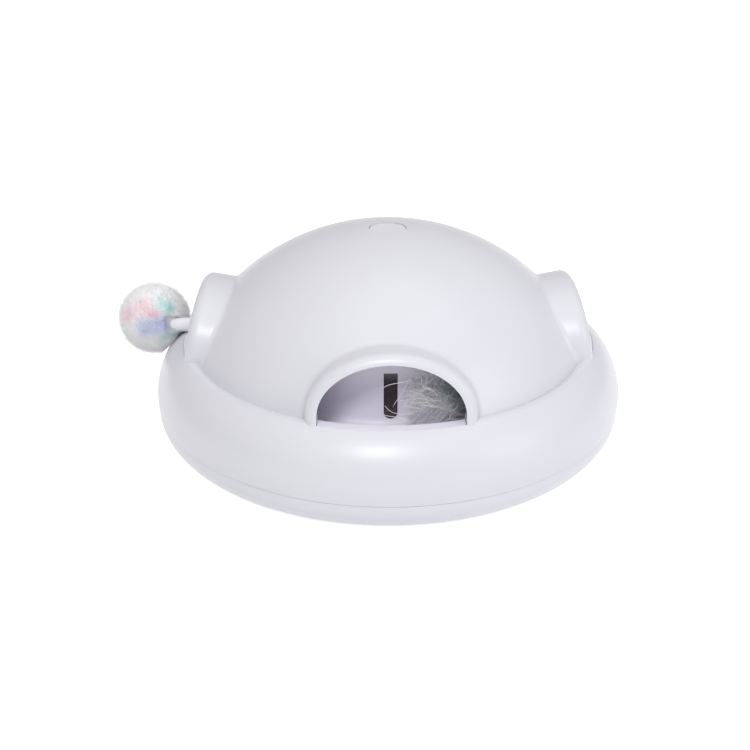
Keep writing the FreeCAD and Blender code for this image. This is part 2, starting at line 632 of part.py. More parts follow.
def wand_drive():
    """Guide, compound gear on its pin, motor pinion, motor and collar."""
    gear_y = value("bar_width / 2 - 0.65 * tooth_module + tooth_module * pinion_teeth / 2 + 0.03")
    driver_y = gear_y + value("tooth_module * (wheel_teeth + driver_teeth) / 2 + 0.03")
    low = S["wand_height"] - S["gear_thick"] / 2
    wheel_low = value("wand_height + stem_radius + 0.6")
    pinion = gear_solid(S["tooth_module"], S["pinion_teeth"], wheel_low - low, -90)
    pinion.translate(V(0, gear_y, low))
    wheel = gear_solid(S["tooth_module"], S["wheel_teeth"], S["wheel_thick"], 90)
    wheel.translate(V(0, gear_y, wheel_low))
    bore = cylinder("gear_bore", "axle_radius + run_gap", "30", y=str(gear_y), z="deck_height")
    whole = fuse("gear_whole", feature("pinion_shape", pinion), feature("wheel_shape", wheel))
    keep(cut("gear_bored", whole, bore), "wand_gear")
    pin = cylinder("axle_pin", "axle_radius", f"{wheel_low + S['wheel_thick']} + 1.6 - deck_height",
                   y=str(gear_y), z="deck_height")
    shoulder = cylinder("axle_shoulder", "axle_radius + 1.5", f"{low} - 0.2 - deck_height",
                        y=str(gear_y), z="deck_height")
    keep(fuse("axle_whole", pin, shoulder), "gear_axle")
    top = wheel_low + S["wheel_thick"] + 0.2
    clip = cut("clip_ring", cylinder("clip_out", "axle_radius + 1.6", "0.8", y=str(gear_y), z=str(top)),
               cylinder("clip_in", "axle_radius", "3", y=str(gear_y), z=str(top - 1)))
    keep(clip, "axle_clip")
    driver = gear_solid(S["tooth_module"], S["driver_teeth"], S["wheel_thick"] + 0.6, -90 + 180 / S["driver_teeth"])
    driver.translate(V(0, driver_y, wheel_low - 0.3))
    shaft = cylinder("driver_shaft", "shaft_radius", f"{wheel_low} - deck_height + 6", y=str(driver_y),
                     z="deck_height - 6")
    keep(fuse("driver_whole", feature("driver_shape", driver), shaft), "wand_driver")
    can = cylinder("motor_can", "10", "23", y=str(driver_y), z="deck_height - 15")
    nose = cylinder("motor_nose", "3", "1", y=str(driver_y), z="deck_height + 8")
    tail = cylinder("motor_tail", "4", "1.4", y=str(driver_y), z="deck_height - 16.4")
    tag_a = box("motor_tag_a", "1", "3", "2", "6", str(driver_y), "deck_height - 17")
    tag_b = box("motor_tag_b", "1", "3", "2", "0 - 6", str(driver_y), "deck_height - 17")
    bearing = cylinder("motor_bearing", "shaft_radius + run_gap", "20", y=str(driver_y), z="deck_height - 6.5")
    keep(cut("motor_bored", fuse("motor_whole", can, nose, tail, tag_a, tag_b), bearing), "wand_motor")
    block = box("collar_block", "26", "26", "6", y=str(driver_y), z="deck_height")
    seat = cylinder("collar_seat", "10.05", "20", y=str(driver_y), z="deck_height - 2")
    keep(cut("collar_bored", block, seat), "motor_collar")
    rail_y = "0 - bar_width / 2 - 2.2"
    base = box("guide_base", "bar_half * 2 + 14", "bar_width + 4", f"wand_height - stem_radius - 0.15 - deck_height",
               y="0 - 2", z="deck_height")
    rail = box("guide_rail", "bar_half * 2 + 14", "3.7", "wand_height - deck_height",
               y=rail_y, z="deck_height")
    keep(fuse("guide_whole", base, rail), "wand_guide")
    disc = cylinder("deck_disc", "drum_radius - drum_wall - loose_gap", "deck_wall", z="deck_height - deck_wall")
    motor_hole = cylinder("deck_motor_hole", "10.3", "10", y=str(driver_y), z="deck_height - 5")
    wire_hole = box("deck_wire_hole", "14", "8", "10", "0 - 38", "20", "deck_height - 5")

    def hole(name, x, y):
        return cylinder(name, "screw_radius - 0.35", "9", x, y, "deck_height - 5")

    holes = ring_of(hole, "deck_hole", "drum_radius - 7", S["tray_screws"], S["post_start"])
    keep(cut("deck_drilled", disc, motor_hole, wire_hole, *holes), "mechanism_deck")


def laser():
    """Tilting cradle with the laser barrel and lens, its bracket, gears and motor."""
    y = "0 - laser_back"
    block = box("cradle_block", "9", "9", "9", y=y, z="laser_height - 4.5")
    pins = cylinder("cradle_pins", "axle_radius", "24", "0 - 9.6", y, "laser_height", V(1, 0, 0))
    seat = cylinder("cradle_seat", "laser_radius + 0.02", "20", "0", f"{y} + 10", "laser_height", V(0, -1, 0))
    keep(cut("cradle_bored", fuse("cradle_whole", block, pins), seat), "laser_cradle")
    barrel = cylinder("barrel_tube", "laser_radius", "laser_length", "0", f"{y} + laser_length / 2 - 1", "laser_height",
                      V(0, -1, 0))
    mouth = cylinder("barrel_mouth", "laser_radius - 0.8", "2", "0", f"{y} - laser_length / 2 + 0.9",
                     "laser_height", V(0, -1, 0))
    keep(cut("barrel_bored", barrel, mouth), "laser_barrel")
    keep(cylinder("lens_disc", "laser_radius - 0.85", "0.8", "0", f"{y} - laser_length / 2 + 0.85",
                  "laser_height", V(0, -1, 0)), "laser_lens")
    foot = box("bracket_foot", "17.5", "14", "2", y=y, z="deck_height")
    ears = [box(f"bracket_ear_{n}", "2.5", "9", "laser_height + 4.5 - deck_height", x, y, "deck_height")
            for n, x in ((1, "7.5"), (2, "0 - 7.5"))]
    bore = cylinder("bracket_bore", "axle_radius + run_gap", "24", "0 - 12", y, "laser_height", V(1, 0, 0))
    keep(cut("bracket_bored", fuse("bracket_whole", foot, *ears), bore), "laser_bracket")
    distance = value("sector_module * (sector_teeth + tilt_driver_teeth) / 2 + 0.03")
    quadrant = Part.makeBox(16, 16, 30, V(-1, -8, -1))
    sector = gear_solid(S["sector_module"], S["sector_teeth"], 3, 0).common(quadrant)
    hub = Part.makeCylinder(S["axle_radius"] + 2, 3)
    hole = Part.makeCylinder(S["axle_radius"] + 0.02, 5, V(0, 0, -1))
    sector = sector.fuse(hub).removeSplitter().cut(hole)
    driver = gear_solid(S["sector_module"], S["tilt_driver_teeth"], 3.4, 180 + 180 / S["tilt_driver_teeth"])
    shaft = Part.makeCylinder(S["shaft_radius"], 9, V(0, 0, -8.6))
    driver = driver.fuse(shaft).removeSplitter()
    turn = FreeCAD.Rotation(V(0, 1, 0), V(0, 0, 1), V(1, 0, 0), "ZXY")
    sector_obj = feature("sector_shape", sector)
    sector_obj.Placement = FreeCAD.Placement(V(10.6, -S["laser_back"], S["laser_height"]), turn)
    keep(sector_obj, "tilt_sector")
    driver_obj = feature("tilt_driver_shape", driver)
    motor_y = distance - S["laser_back"]
    driver_obj.Placement = FreeCAD.Placement(V(10.4, motor_y, S["laser_height"]), turn)
    keep(driver_obj, "tilt_driver")
    body = box("tilt_motor_box", "18", "10", "12", "0 - 4", str(motor_y), "laser_height - 6")
    gearbox = box("tilt_motor_head", "1.6", "9", "10", "5.8", str(motor_y), "laser_height - 5")
    bearing = cylinder("tilt_motor_bearing", "shaft_radius + run_gap", "8", "0.8", str(motor_y), "laser_height",
                       V(1, 0, 0))
    keep(cut("tilt_motor_bored", fuse("tilt_motor_whole", body, gearbox), bearing), "tilt_motor")
    saddle = box("saddle_block", "14", "15", "laser_height - 2 - deck_height", "0 - 4", str(motor_y), "deck_height")
    room = box("saddle_room", "30", "10.1", "20", "0 - 4", str(motor_y), "laser_height - 6")
    keep(cut("saddle_cut", saddle, room), "tilt_saddle")


def controls():
    """Top button with its spring, the main board and switch, and the cell with its charge port."""
    cover_top = "drum_top + cover_wall"
    board_top = "board_height + board_wall"
    seat_top = f"{board_top} + 4.6"
    flange = "dome_height - shell_wall - 2.6"
    cap = cylinder("button_cap", "button_radius", f"dome_height - 0.9 - ({flange})", z=flange)
    dome = sphere("button_dome", "60", z="dome_height + 0.1 - 60")
    crown = common("button_crown", cylinder("button_top", "button_radius", f"dome_height + 1 - ({flange})", z=flange), dome)
    rim = cylinder("button_flange", "button_radius + 2.2", "1.2", z=f"{flange} - button_travel + 1")
    stalk_low = f"{board_top} + 4.7 + button_travel + 0.2"
    stalk = cylinder("button_stalk", "3", f"({flange}) - ({stalk_low}) + 0.5", z=stalk_low)
    keep(fuse("button_whole", common("cap_crown", cap, crown), rim, stalk), "top_button")
    spring_high = f"{flange} - button_travel + 1"
    coil = cut("spring_tube", cylinder("spring_out", "5.6", f"({spring_high}) - ({seat_top})", z=seat_top),
               cylinder("spring_in", "4.4", "60", z="board_height"))
    keep(coil, "button_spring")
    seat = cut("seat_ring", cylinder("seat_out", "7.6", "4.6", z=board_top),
               cylinder("seat_in", "3.6", "10", z="board_height"),
               box("seat_room", "7", "7", "4.2", z=f"{board_top} - 0.2"))
    keep(seat, "spring_seat")
    switch = box("switch_box", "6", "6", "3.4", z=board_top)
    plunger = cylinder("switch_plunger", "1.7", "1.3", z=f"{board_top} + 3.4")
    keep(fuse("switch_whole", switch, plunger), "tact_switch")
    posts = [cylinder(f"board_post_{n}", "2.5", f"board_height - ({cover_top})", x, y, cover_top)
             for n, x, y in ((1, "24", "16"), (2, "24", "0 - 16"), (3, "0 - 24", "16"), (4, "0 - 24", "0 - 16"))]
    keep(group("board_post_set", *posts), "board_posts")
    board = box("board_plate", "56", "40", "board_wall", z="board_height")
    keep(board, "main_board")
    chip = box("board_chip", "9", "9", "1.5", "16", "0", board_top)
    plug_a = box("board_plug_a", "8", "5", "5", "0 - 18", "12", board_top)
    plug_b = box("board_plug_b", "8", "5", "5", "0 - 18", "0 - 12", board_top)
    keep(group("board_parts_set", chip, plug_a, plug_b), "board_parts")
    floor = "foot_height + shell_wall"
    cell_y = "40"
    trough = box("holder_trough", "cell_length + 8", "cell_radius * 2 + 4", "10", y=cell_y, z=floor)
    cell_z = f"{floor} + 1.6 + cell_radius"
    room = cylinder("holder_room", "cell_radius + 0.05", "cell_length + 2", "0 - cell_length / 2 - 1", cell_y, cell_z,
                    V(1, 0, 0))
    slot = box("holder_slot", "cell_length + 2", "cell_radius * 2 + 0.1", "20", y=cell_y, z=cell_z)
    keep(cut("holder_cut", trough, room, slot), "cell_holder")
    can = cylinder("cell_can", "cell_radius", "cell_length", "0 - cell_length / 2", cell_y, cell_z, V(1, 0, 0))
    button = cylinder("cell_button", "3", "0.9", "cell_length / 2", cell_y, cell_z, V(1, 0, 0))
    keep(fuse("cell_whole", can, button), "rechargeable_cell")
    ledge = box("charge_ledge", "16", "12", "port_board - foot_height - shell_wall", y="rim_radius - 21.5", z=floor)
    keep(ledge, "charge_ledge")
    plate = box("charge_plate", "16", "14", "board_wall", y="rim_radius - 16.5", z="port_board")
    keep(plate, "charge_board")
    shell = box("port_shell", "9", "8.4", "3.3", y="rim_radius - 5.6", z="port_board + 2.35")
    mouth = box("port_mouth", "8.2", "7", "2.5", y="rim_radius - 4.3", z="port_board + 2.75")
    tongue = box("port_tongue", "6.6", "5", "0.7", y="rim_radius - 5.6", z="port_board + 3.65")
    pad = box("port_pad", "8", "6", "0.8", y="rim_radius - 7", z="port_board + board_wall")
    keep(fuse("port_whole", cut("port_hollow", shell, mouth), tongue, pad), "charge_socket")


def write_parts():
    """Check every object and write each named sub-part."""
    doc.recompute()
    for obj in doc.Objects:
        for bad in ("Invalid", "Error"):
            if bad in obj.State:
                raise RuntimeError(f"{obj.Name} is {bad}")
    for name, obj in parts:
        if obj.Shape.isNull() or not obj.Shape.isValid():
            raise RuntimeError(f"{name} has no valid shape")
    os.makedirs("parts", exist_ok=True)
    for name, obj in parts:
        obj.Shape.exportStep(f"parts/{name}.step")
        print(f"{name}: {len(obj.Shape.Solids)} solids, {obj.Shape.Volume:.0f} mm3")


upper_shell()
base_shell()
fasteners()
inner_housing()
drum_fittings()
wand()
wand_drive()
laser()
controls()
write_parts()
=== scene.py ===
import math
import random

import bmesh
import bpy
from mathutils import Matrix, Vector


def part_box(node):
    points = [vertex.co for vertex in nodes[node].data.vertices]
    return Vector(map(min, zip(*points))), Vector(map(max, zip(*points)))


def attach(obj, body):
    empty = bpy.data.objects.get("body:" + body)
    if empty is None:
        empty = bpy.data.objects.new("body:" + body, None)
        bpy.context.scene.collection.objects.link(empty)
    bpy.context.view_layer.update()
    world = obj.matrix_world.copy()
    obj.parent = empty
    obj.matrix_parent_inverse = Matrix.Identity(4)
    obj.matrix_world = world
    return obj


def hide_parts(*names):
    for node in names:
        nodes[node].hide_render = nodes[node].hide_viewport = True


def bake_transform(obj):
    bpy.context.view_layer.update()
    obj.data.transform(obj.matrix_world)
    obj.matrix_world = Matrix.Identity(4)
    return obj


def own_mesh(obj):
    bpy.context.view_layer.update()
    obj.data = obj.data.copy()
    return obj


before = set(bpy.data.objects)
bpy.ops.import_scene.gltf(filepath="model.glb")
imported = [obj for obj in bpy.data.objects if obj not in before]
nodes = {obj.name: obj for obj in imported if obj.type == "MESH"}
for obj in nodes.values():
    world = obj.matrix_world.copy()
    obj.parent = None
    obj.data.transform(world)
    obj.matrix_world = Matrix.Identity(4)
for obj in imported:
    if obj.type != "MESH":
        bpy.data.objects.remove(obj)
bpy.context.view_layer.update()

MM = 0.001


# White shell, top and bottom.
# The dome with its four hoods and the bowl under it are injection moulded ABS with a fine satin
# texture: a soft broad gloss, and no sharp reflection.

def linear(code):
    """A hex sRGB colour as the linear RGBA that Blender's sockets take."""
    parts = [int(code[i:i + 2], 16) / 255 for i in (1, 3, 5)]
    return tuple(c / 12.92 if c <= 0.04045 else ((c + 0.055) / 1.055) ** 2.4 for c in parts) + (1,)


def add(tree, kind, settings=None, links=None):
    """Add a node; settings are its attributes or input values, links its inputs' sources."""
    made = tree.nodes.new(kind)
    for key, item in (settings or {}).items():
        if isinstance(key, str) and hasattr(made, key):
            setattr(made, key, item)
        else:
            made.inputs[key].default_value = item
    for key, source in (links or {}).items():
        tree.links.new(source, made.inputs[key])
    return made


def surface(name, main, drift, drift_mm, grain_mm, grain_depth_mm, rough, sockets=None):
    """A solid finish on Object coordinates: slow colour drift, uneven gloss and a fine grain."""
    material = bpy.data.materials.new(name)
    material.use_nodes = True
    tree = material.node_tree
    shader = tree.nodes["Principled BSDF"]
    place = add(tree, "ShaderNodeTexCoord").outputs["Object"]
    slow = add(tree, "ShaderNodeTexNoise", {"Scale": 1000 / drift_mm, "Detail": 3.0}, {"Vector": place})
    blend = add(tree, "ShaderNodeMix", {"data_type": "RGBA", 6: linear(main), 7: linear(drift)},
                {0: slow.outputs["Fac"]})
    tree.links.new(blend.outputs[2], shader.inputs["Base Color"])
    gloss = add(tree, "ShaderNodeMapRange", {"To Min": rough[0], "To Max": rough[1]},
                {"Value": slow.outputs["Fac"]})
    tree.links.new(gloss.outputs["Result"], shader.inputs["Roughness"])
    fine = add(tree, "ShaderNodeTexNoise", {"Scale": 1000 / grain_mm, "Detail": 2.0}, {"Vector": place})
    bump = add(tree, "ShaderNodeBump", {"Strength": 1.0, "Distance": grain_depth_mm * MM},
               {"Height": fine.outputs["Fac"]})
    tree.links.new(bump.outputs["Normal"], shader.inputs["Normal"])
    for key, item in (sockets or {}).items():
        shader.inputs[key].default_value = item
    return material


def dress(material, *names):
    """Give CAD nodes their finish."""
    for name in names:
        slots = nodes[name].data.materials
        slots.clear()
        slots.append(material)


satin_abs = surface("satin_white_ABS", "#DCDCE1", "#D8D8DE", 60, 0.9, 0.012, (0.30, 0.38),
                    {"IOR": 1.53, "Specular IOR Level": 0.42})
dress(satin_abs, "upper_shell", "base_shell")


# Tray and drum seen through the arches.
# The same ABS with less texture, so it takes the soft light from the arch and falls off to a
# violet grey under the dome. Its colour is painted lighter and more violet than the shell's: painted
# light for the shaded inside, with a painted violet tint of shade.

# Painted light: a lighter, more violet copy of the shell ABS that brightens the shaded inside.
painted_light_tray_abs = surface("smooth_tray_ABS_painted_light", "#EEEAF5", "#E8E4F0", 40, 0.7, 0.008, (0.34, 0.42),
                   {"IOR": 1.53, "Specular IOR Level": 0.38})
dress(painted_light_tray_abs, "inner_housing", "drum_cover")


# Laser windows.
# Dark tinted polycarbonate panes let into the drum's slots. Polished, so they are nearly black
# with a clear reflection.

tinted_pane = surface("tinted_polycarbonate", "#3A3230", "#2C2626", 8, 0.5, 0.002, (0.08, 0.14),
                      {"IOR": 1.585})
dress(tinted_pane, "front_window", "rear_window")


# Top button.
# A polished ABS cap in a fine groove at the pole, a little brighter than the shell round it.

button_abs = surface("button_ABS", "#E4E4EA", "#E1E1E7", 20, 0.8, 0.006, (0.22, 0.28), {"IOR": 1.53})
dress(button_abs, "top_button")


# Wand sleeves.
# Glossy extruded polystyrene tube, cut square.

sleeve_plastic = surface("gloss_white_tube", "#F3F2F6", "#EEEDF2", 12, 0.6, 0.003, (0.14, 0.2),
                         {"IOR": 1.55})
dress(sleeve_plastic, "pompom_stem", "feather_stem")


# Running parts.
# Natural acetal: waxy, slightly warm white, used for the rack, the gears and the bushings.

acetal = surface("natural_acetal", "#E3E1D8", "#DBD8CD", 10, 0.5, 0.006, (0.36, 0.46), {"IOR": 1.48})
dress(acetal, "rack_bar", "wand_gear", "wand_driver", "tilt_sector", "tilt_driver",
      "left_bushing", "right_bushing")


# Inner frame parts.
# Grey moulded ABS with an eroded mould texture: the deck, guides, brackets and holders.

frame_abs = surface("grey_frame_ABS", "#8A8C92", "#7C7E85", 15, 0.6, 0.02, (0.5, 0.62), {"IOR": 1.53})
dress(frame_abs, "mechanism_deck", "wand_guide", "motor_collar", "laser_cradle", "laser_bracket",
      "tilt_saddle", "spring_seat", "board_posts", "cell_holder", "charge_ledge")


# Metal parts.
# Zinc-plated screws, ground pins, plated motor cans and the turned brass laser barrel.

plated_steel = surface("zinc_plated_steel", "#B9BCC0", "#A6A9AF", 3, 0.25, 0.004, (0.28, 0.42),
                       {"Metallic": 1.0})
dress(plated_steel, "case_screws", "tray_screws", "deck_screws", "charge_socket", "feather_ferrule")
ground_steel = surface("ground_steel", "#C9CBCE", "#B8BABE", 2, 0.15, 0.002, (0.18, 0.26),
                       {"Metallic": 1.0})
dress(ground_steel, "gear_axle", "axle_clip")
motor_can = surface("nickel_plated_can", "#B4B6B8", "#A2A5A9", 6, 0.3, 0.003, (0.24, 0.36),
                    {"Metallic": 1.0})
dress(motor_can, "wand_motor", "tilt_motor")
turned_brass = surface("turned_brass", "#C9A557", "#B58F45", 2, 0.2, 0.004, (0.22, 0.32),
                       {"Metallic": 1.0})
dress(turned_brass, "laser_barrel")


# Lens, boards and cell.
# Moulded acrylic lens, green solder mask on glass fibre, black epoxy parts and a blue shrink
# sleeve on the cell.

lens_acrylic = surface("red_acrylic_lens", "#C4504A", "#B8443E", 1, 0.2, 0.001, (0.05, 0.08),
                       {"IOR": 1.49, "Transmission Weight": 0.6})
dress(lens_acrylic, "laser_lens")
solder_mask = surface("green_solder_mask", "#2B6B46", "#235A3A", 2, 0.5, 0.01, (0.3, 0.42))
dress(solder_mask, "main_board", "charge_board")
black_epoxy = surface("black_epoxy", "#1E1F22", "#2A2B2F", 2, 0.3, 0.01, (0.42, 0.55))
dress(black_epoxy, "board_parts", "tact_switch")
shrink_sleeve = surface("blue_shrink_sleeve", "#4E86B4", "#447AA8", 20, 2.0, 0.02, (0.24, 0.32))
dress(shrink_sleeve, "rechargeable_cell")


# Feet.
# Soft moulded rubber, pale grey, dull with a fine bloom.

foot_rubber = surface("pale_grey_rubber", "#BFC1C7", "#B2B4BB", 5, 0.5, 0.03, (0.7, 0.82), {"IOR": 1.52})
dress(foot_rubber, "rubber_feet")


# Button spring.
# A cylindrical spring of round music wire round the button's stalk, wound from the seat up.

spring_low, spring_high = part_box("button_spring")
wire = 0.35 * MM
coil_radius = (spring_high.x - spring_low.x) / 2 - wire
turns = 6
steps = 20
coil = bpy.data.curves.new("button_coil", "CURVE")
coil.dimensions = "3D"
coil.bevel_depth = wire
coil.bevel_resolution = 2
coil.use_fill_caps = True
line = coil.splines.new("POLY")
line.points.add(turns * steps)
rise = spring_high.z - spring_low.z - 2 * wire
for i, point in enumerate(line.points):
    angle = 2 * math.pi * i / steps
    height = spring_low.z + wire + rise * i / (turns * steps)
    point.co = (coil_radius * math.cos(angle), coil_radius * math.sin(angle), height, 1)


def curve_mesh(name, curve):
    """The mesh of a curve object, its ends and doubles closed, as an object of its own."""
    source = bpy.data.objects.new(name + "_curve", curve)
    bpy.context.scene.collection.objects.link(source)
    bpy.context.view_layer.update()
    depsgraph = bpy.context.evaluated_depsgraph_get()
    mesh = bpy.data.meshes.new_from_object(source.evaluated_get(depsgraph))
    bpy.data.objects.remove(source)
    mesh.name = name
    made = bpy.data.objects.new(name, mesh)
    bpy.context.scene.collection.objects.link(made)
    work = bmesh.new()
    work.from_mesh(mesh)
    bmesh.ops.remove_doubles(work, verts=work.verts, dist=1e-6)
    work.to_mesh(mesh)
    work.free()
    return made


spring = curve_mesh("button_coil_spring", coil)
spring.data.materials.clear()
spring.data.materials.append(ground_steel)
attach(spring, "housing")
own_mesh(spring)
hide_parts("button_spring")


# Pompom.
# A tied ball of soft dyed fibre, pressed onto the wand's sleeve so that the sleeve lies in a
# furrow of it. It is white with pale pink, mint and lavender where the dye took.

ball_low, ball_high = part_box("pompom")
ball_radius = 19 * MM
ball_centre = Vector((ball_low.x + ball_radius, (ball_low.y + ball_high.y) / 2,
                      ball_high.z - ball_radius))
core_share = 0.9
root_share = 0.84
stem_low, stem_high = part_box("pompom_stem")
stem_height = (stem_low.z + stem_high.z) / 2
stem_radius = (stem_high.z - stem_low.z) / 2
rest_point = Vector((-111.5 * MM, 0, 37.5 * MM))
rest_normal = Vector((-0.738, 0, 0.676)).normalized()
furrow_out = Vector((0, -0.9, 0.436))
furrow_side = Vector((0, 0.436, 0.9))
furrow_slant = 0.27
furrow_end = stem_low.x - 0.3 * MM
fibre_gap = 0.35 * MM
core_gap = 0.8 * MM
draw = random.Random(7)


def keep_clear(point, gap):
    """Push a point of the ball off the rim under it and out of the sleeve's furrow."""
    depth = (point - rest_point).dot(rest_normal)
    if depth < gap:
        point = point + rest_normal * (gap - depth)
    overhang = furrow_slant * max(0.0, -point.y - stem_radius)
    if point.x < furrow_end + overhang:
        return point
    across = Vector((0, point.y, point.z - stem_height))
    clear = stem_radius + gap
    side = across.dot(furrow_side)
    if across.dot(furrow_out) > 0:
        if abs(side) < clear:
            point = point + furrow_side * (math.copysign(clear, side) - side)
    elif across.length < clear:
        away = across.normalized() if across.length > 1e-9 else -furrow_out
        point = point + away * (clear - across.length)
    return point


def strands(name, paths, thick, blunt=0.5):
    """Fine fibres along paths of points, each thinning to its tip and closed at both ends."""
    curve = bpy.data.curves.new(name + "_lines", "CURVE")
    curve.dimensions = "3D"
    curve.bevel_depth = 1.0
    curve.bevel_resolution = 0
    curve.use_fill_caps = True
    for path in paths:
        spline = curve.splines.new("POLY")
        spline.points.add(len(path) - 1)
        last = len(path) - 1
        for i, (point, place) in enumerate(zip(spline.points, path)):
            point.co = (*place, 1)
            point.radius = thick * (1 - (1 - blunt) * i / last)
    made = curve_mesh(name, curve)
    made.data.shade_smooth()
    return made


def lumps(heading):
    """The ball's uneven swelling in a direction, as a factor near 1."""
    return 1 + 0.018 * math.sin(7 * heading.x + 2) * math.sin(8 * heading.y) * math.sin(6 * heading.z + 1)


def tuft(count, seed):
    """Short curled fibres all round the ball, leaning every way."""
    lean = random.Random(seed)
    made = []
    for fibre in range(count):
        heading = Vector([lean.gauss(0, 1) for i in range(3)]).normalized()
        scatter = Vector([lean.gauss(0, 0.10) for i in range(3)])
        reach_share = lean.triangular(0.88, 1.10, 0.96)
        tip = ball_centre + (heading + scatter).normalized() * ball_radius * lumps(heading) * reach_share
        root = ball_centre + heading * ball_radius * root_share
        side = heading.cross(Vector([lean.gauss(0, 1) for i in range(3)])).normalized()
        bend = lean.gauss(0, 0.9) * MM
        path = [root, root.lerp(tip, 0.5) + side * bend, tip]
        made.append([keep_clear(place, fibre_gap) for place in path])
    return made


core = bmesh.new()
bmesh.ops.create_icosphere(core, subdivisions=5, radius=ball_radius * core_share)
for vert in core.verts:
    vert.co = keep_clear(ball_centre + vert.co * lumps(vert.co.normalized()), core_gap)
core_mesh = bpy.data.meshes.new("pompom_core")
core.to_mesh(core_mesh)
core.free()
core_mesh.shade_smooth()
fur_core = bpy.data.objects.new("pompom_core", core_mesh)
bpy.context.scene.collection.objects.link(fur_core)
furs = [strands(f"pompom_fibres_{seed}", tuft(7500, seed), 0.07 * MM, 0.3) for seed in (1, 2)]


def pocket_dye(name, base, pockets, rough, sheen, through):
    """Fibre dyed in soft pockets: each is a colour, a centre and a radius. Some light passes
    through the fibre: through is the share."""
    material = bpy.data.materials.new(name)
    material.use_nodes = True
    tree = material.node_tree
    shader = tree.nodes["Principled BSDF"]
    place = add(tree, "ShaderNodeTexCoord").outputs["Object"]
    cloud = add(tree, "ShaderNodeTexNoise", {"Scale": 1000 / 5, "Detail": 2.0}, {"Vector": place})
    middle = add(tree, "ShaderNodeVectorMath", {"operation": "SUBTRACT", 1: (0.5, 0.5, 0.5)},
                 {0: cloud.outputs["Color"]})
    shift = add(tree, "ShaderNodeVectorMath", {"operation": "SCALE", "Scale": 7 * MM}, {0: middle.outputs[0]})
    moved = add(tree, "ShaderNodeVectorMath", {"operation": "ADD"},
                {0: place, 1: shift.outputs[0]}).outputs[0]
    colour = None
    for code, centre, radius in pockets:
        away = add(tree, "ShaderNodeVectorMath", {"operation": "DISTANCE", 1: tuple(centre)}, {0: moved})
        weight = add(tree, "ShaderNodeMapRange",
                     {"interpolation_type": "SMOOTHSTEP", "From Min": 0.0, "From Max": radius * MM,
                      "To Min": 1.0, "To Max": 0.0}, {"Value": away.outputs["Value"]})
        mix = add(tree, "ShaderNodeMix", {"data_type": "RGBA", 6: linear(base), 7: linear(code)},
                  {0: weight.outputs["Result"]})
        if colour is not None:
            tree.links.new(colour, mix.inputs[6])
        colour = mix.outputs[2]
    tree.links.new(colour, shader.inputs["Base Color"])
    fine = add(tree, "ShaderNodeTexNoise", {"Scale": 1000 / 0.4, "Detail": 2.0}, {"Vector": place})
    bump = add(tree, "ShaderNodeBump", {"Strength": 0.5, "Distance": 0.08 * MM},
               {"Height": fine.outputs["Fac"]})
    tree.links.new(bump.outputs["Normal"], shader.inputs["Normal"])
    shader.inputs["Roughness"].default_value = rough
    shader.inputs["Sheen Weight"].default_value = sheen
    shader.inputs["Sheen Roughness"].default_value = 0.5
    shader.inputs["Specular IOR Level"].default_value = 0.15
    glow = add(tree, "ShaderNodeBsdfTranslucent", None, {"Color": colour})
    blend = add(tree, "ShaderNodeMixShader", {0: through}, {1: shader.outputs[0], 2: glow.outputs[0]})
    tree.links.new(blend.outputs[0], tree.nodes["Material Output"].inputs["Surface"])
    return material


def beside(x, y, z):
    """A place in millimetres from the ball's centre."""
    return ball_centre + Vector((x, y, z)) * MM


pompom_dyes = [
    ("#F7DDE4", beside(-2, -12.4, 12), 8),
    ("#F5D4DD", beside(3, -15.5, 8.5), 6.5),
    ("#F7DEE5", beside(-10, -13, 8), 9),
    ("#D2F0EE", beside(9, -10.4, 12.5), 8),
    ("#BDEBE7", beside(11.5, -10, 9.5), 5),
    ("#C6D0F0", beside(7, -16.5, 2.5), 8),
    ("#D3D9F2", beside(-1, -18, 1), 9),
    ("#C6EBE2", beside(9, -15.5, -5.5), 5.5),
    ("#D2F0EE", beside(14.5, -11, -4), 6),
    ("#F7DDE4", beside(-4, 14, 8), 10),
    ("#C6D0F0", beside(3, 15, -6), 10),
]
pompom_fibre = pocket_dye("space_dyed_soft_fibre", "#FDFDFD", pompom_dyes, 0.9, 1.0, 0.0)
pompom_heart = pocket_dye("space_dyed_fibre_heart", "#FDFDFD", pompom_dyes, 0.95, 0.6, 0.0)
for piece in (*furs, fur_core):
    piece.data.materials.clear()
    piece.data.materials.append(pompom_heart if piece == fur_core else pompom_fibre)
    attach(piece, "wand")
    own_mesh(piece)
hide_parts("pompom")


# Feather plume.
# A marabou feather crimped on the right end of the wand. Inside, it lies curled round the drum
# towards the front arch: fine down, teal at the quill and white towards the tip, with long
# loose barbs that cross the laser window.

plume_low, plume_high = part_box("feather_plume")
ring = 83.0 * MM
slot_edge = 86.0
drum_side = 78.6 * MM
tray_top = 33.5 * MM
drum_brim = 61 * MM
arch_reach = 20
arch_blend = 4
plume_height = (plume_low.z + plume_high.z) / 2


def curl(angle, radius, height):
    """A point round the drum: the angle in degrees runs from the right arch to the front."""
    turn = math.radians(angle)
    return Vector((radius * math.cos(turn), -radius * math.sin(turn), height))


def within(point):
    """Keep a barb's point between the drum and the dome, over the tray and under the hood."""
    span = Vector((point.x, point.y, 0))
    height = min(max(point.z, tray_top), drum_brim)
    dome = 92.5 * MM - max(0.0, height - 40 * MM) * 0.72
    from_front = abs(math.degrees(math.atan2(point.x, -point.y)))
    from_arch = min(from_front, abs(90 - from_front))
    under_hood = min(1.0, max(0.0, (arch_reach - from_arch) / arch_blend))
    hood = 94.0 * MM - max(0.0, height - 48 * MM) * 0.35
    limit = max(dome, drum_side + 0.3 * MM) + (hood - dome) * under_hood
    radius = min(max(span.length, drum_side), limit)
    span = span.normalized() * radius
    return Vector((span.x, span.y, height))


